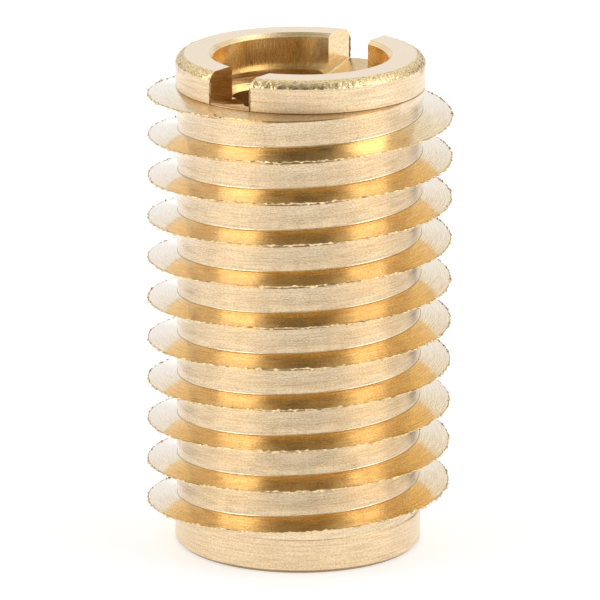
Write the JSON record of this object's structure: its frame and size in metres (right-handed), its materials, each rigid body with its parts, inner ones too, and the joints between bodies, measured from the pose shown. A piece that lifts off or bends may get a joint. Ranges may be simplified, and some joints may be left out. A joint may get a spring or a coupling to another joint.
{
  "type": "threaded insert",
  "caption": "Screw-in brass insert for wood: a sleeve with a sharp knife thread outside, a tapped bore with a counterbore, and a driver slot across its plain head.",
  "frame": {"origin": "centre of the pilot's end face, on the insert's axis, where it stands", "axes": "+Z along the axis from the pilot towards the slotted head; the driver slot runs 55.4 degrees from +X towards +Y"},
  "size_m": [0.0114, 0.0114, 0.019],
  "materials": {
    "brass": "turned and lightly polished, with fine turning marks"
  },
  "bodies": {
    "root": {"insert": "brass"}
  },
  "joints": []
}
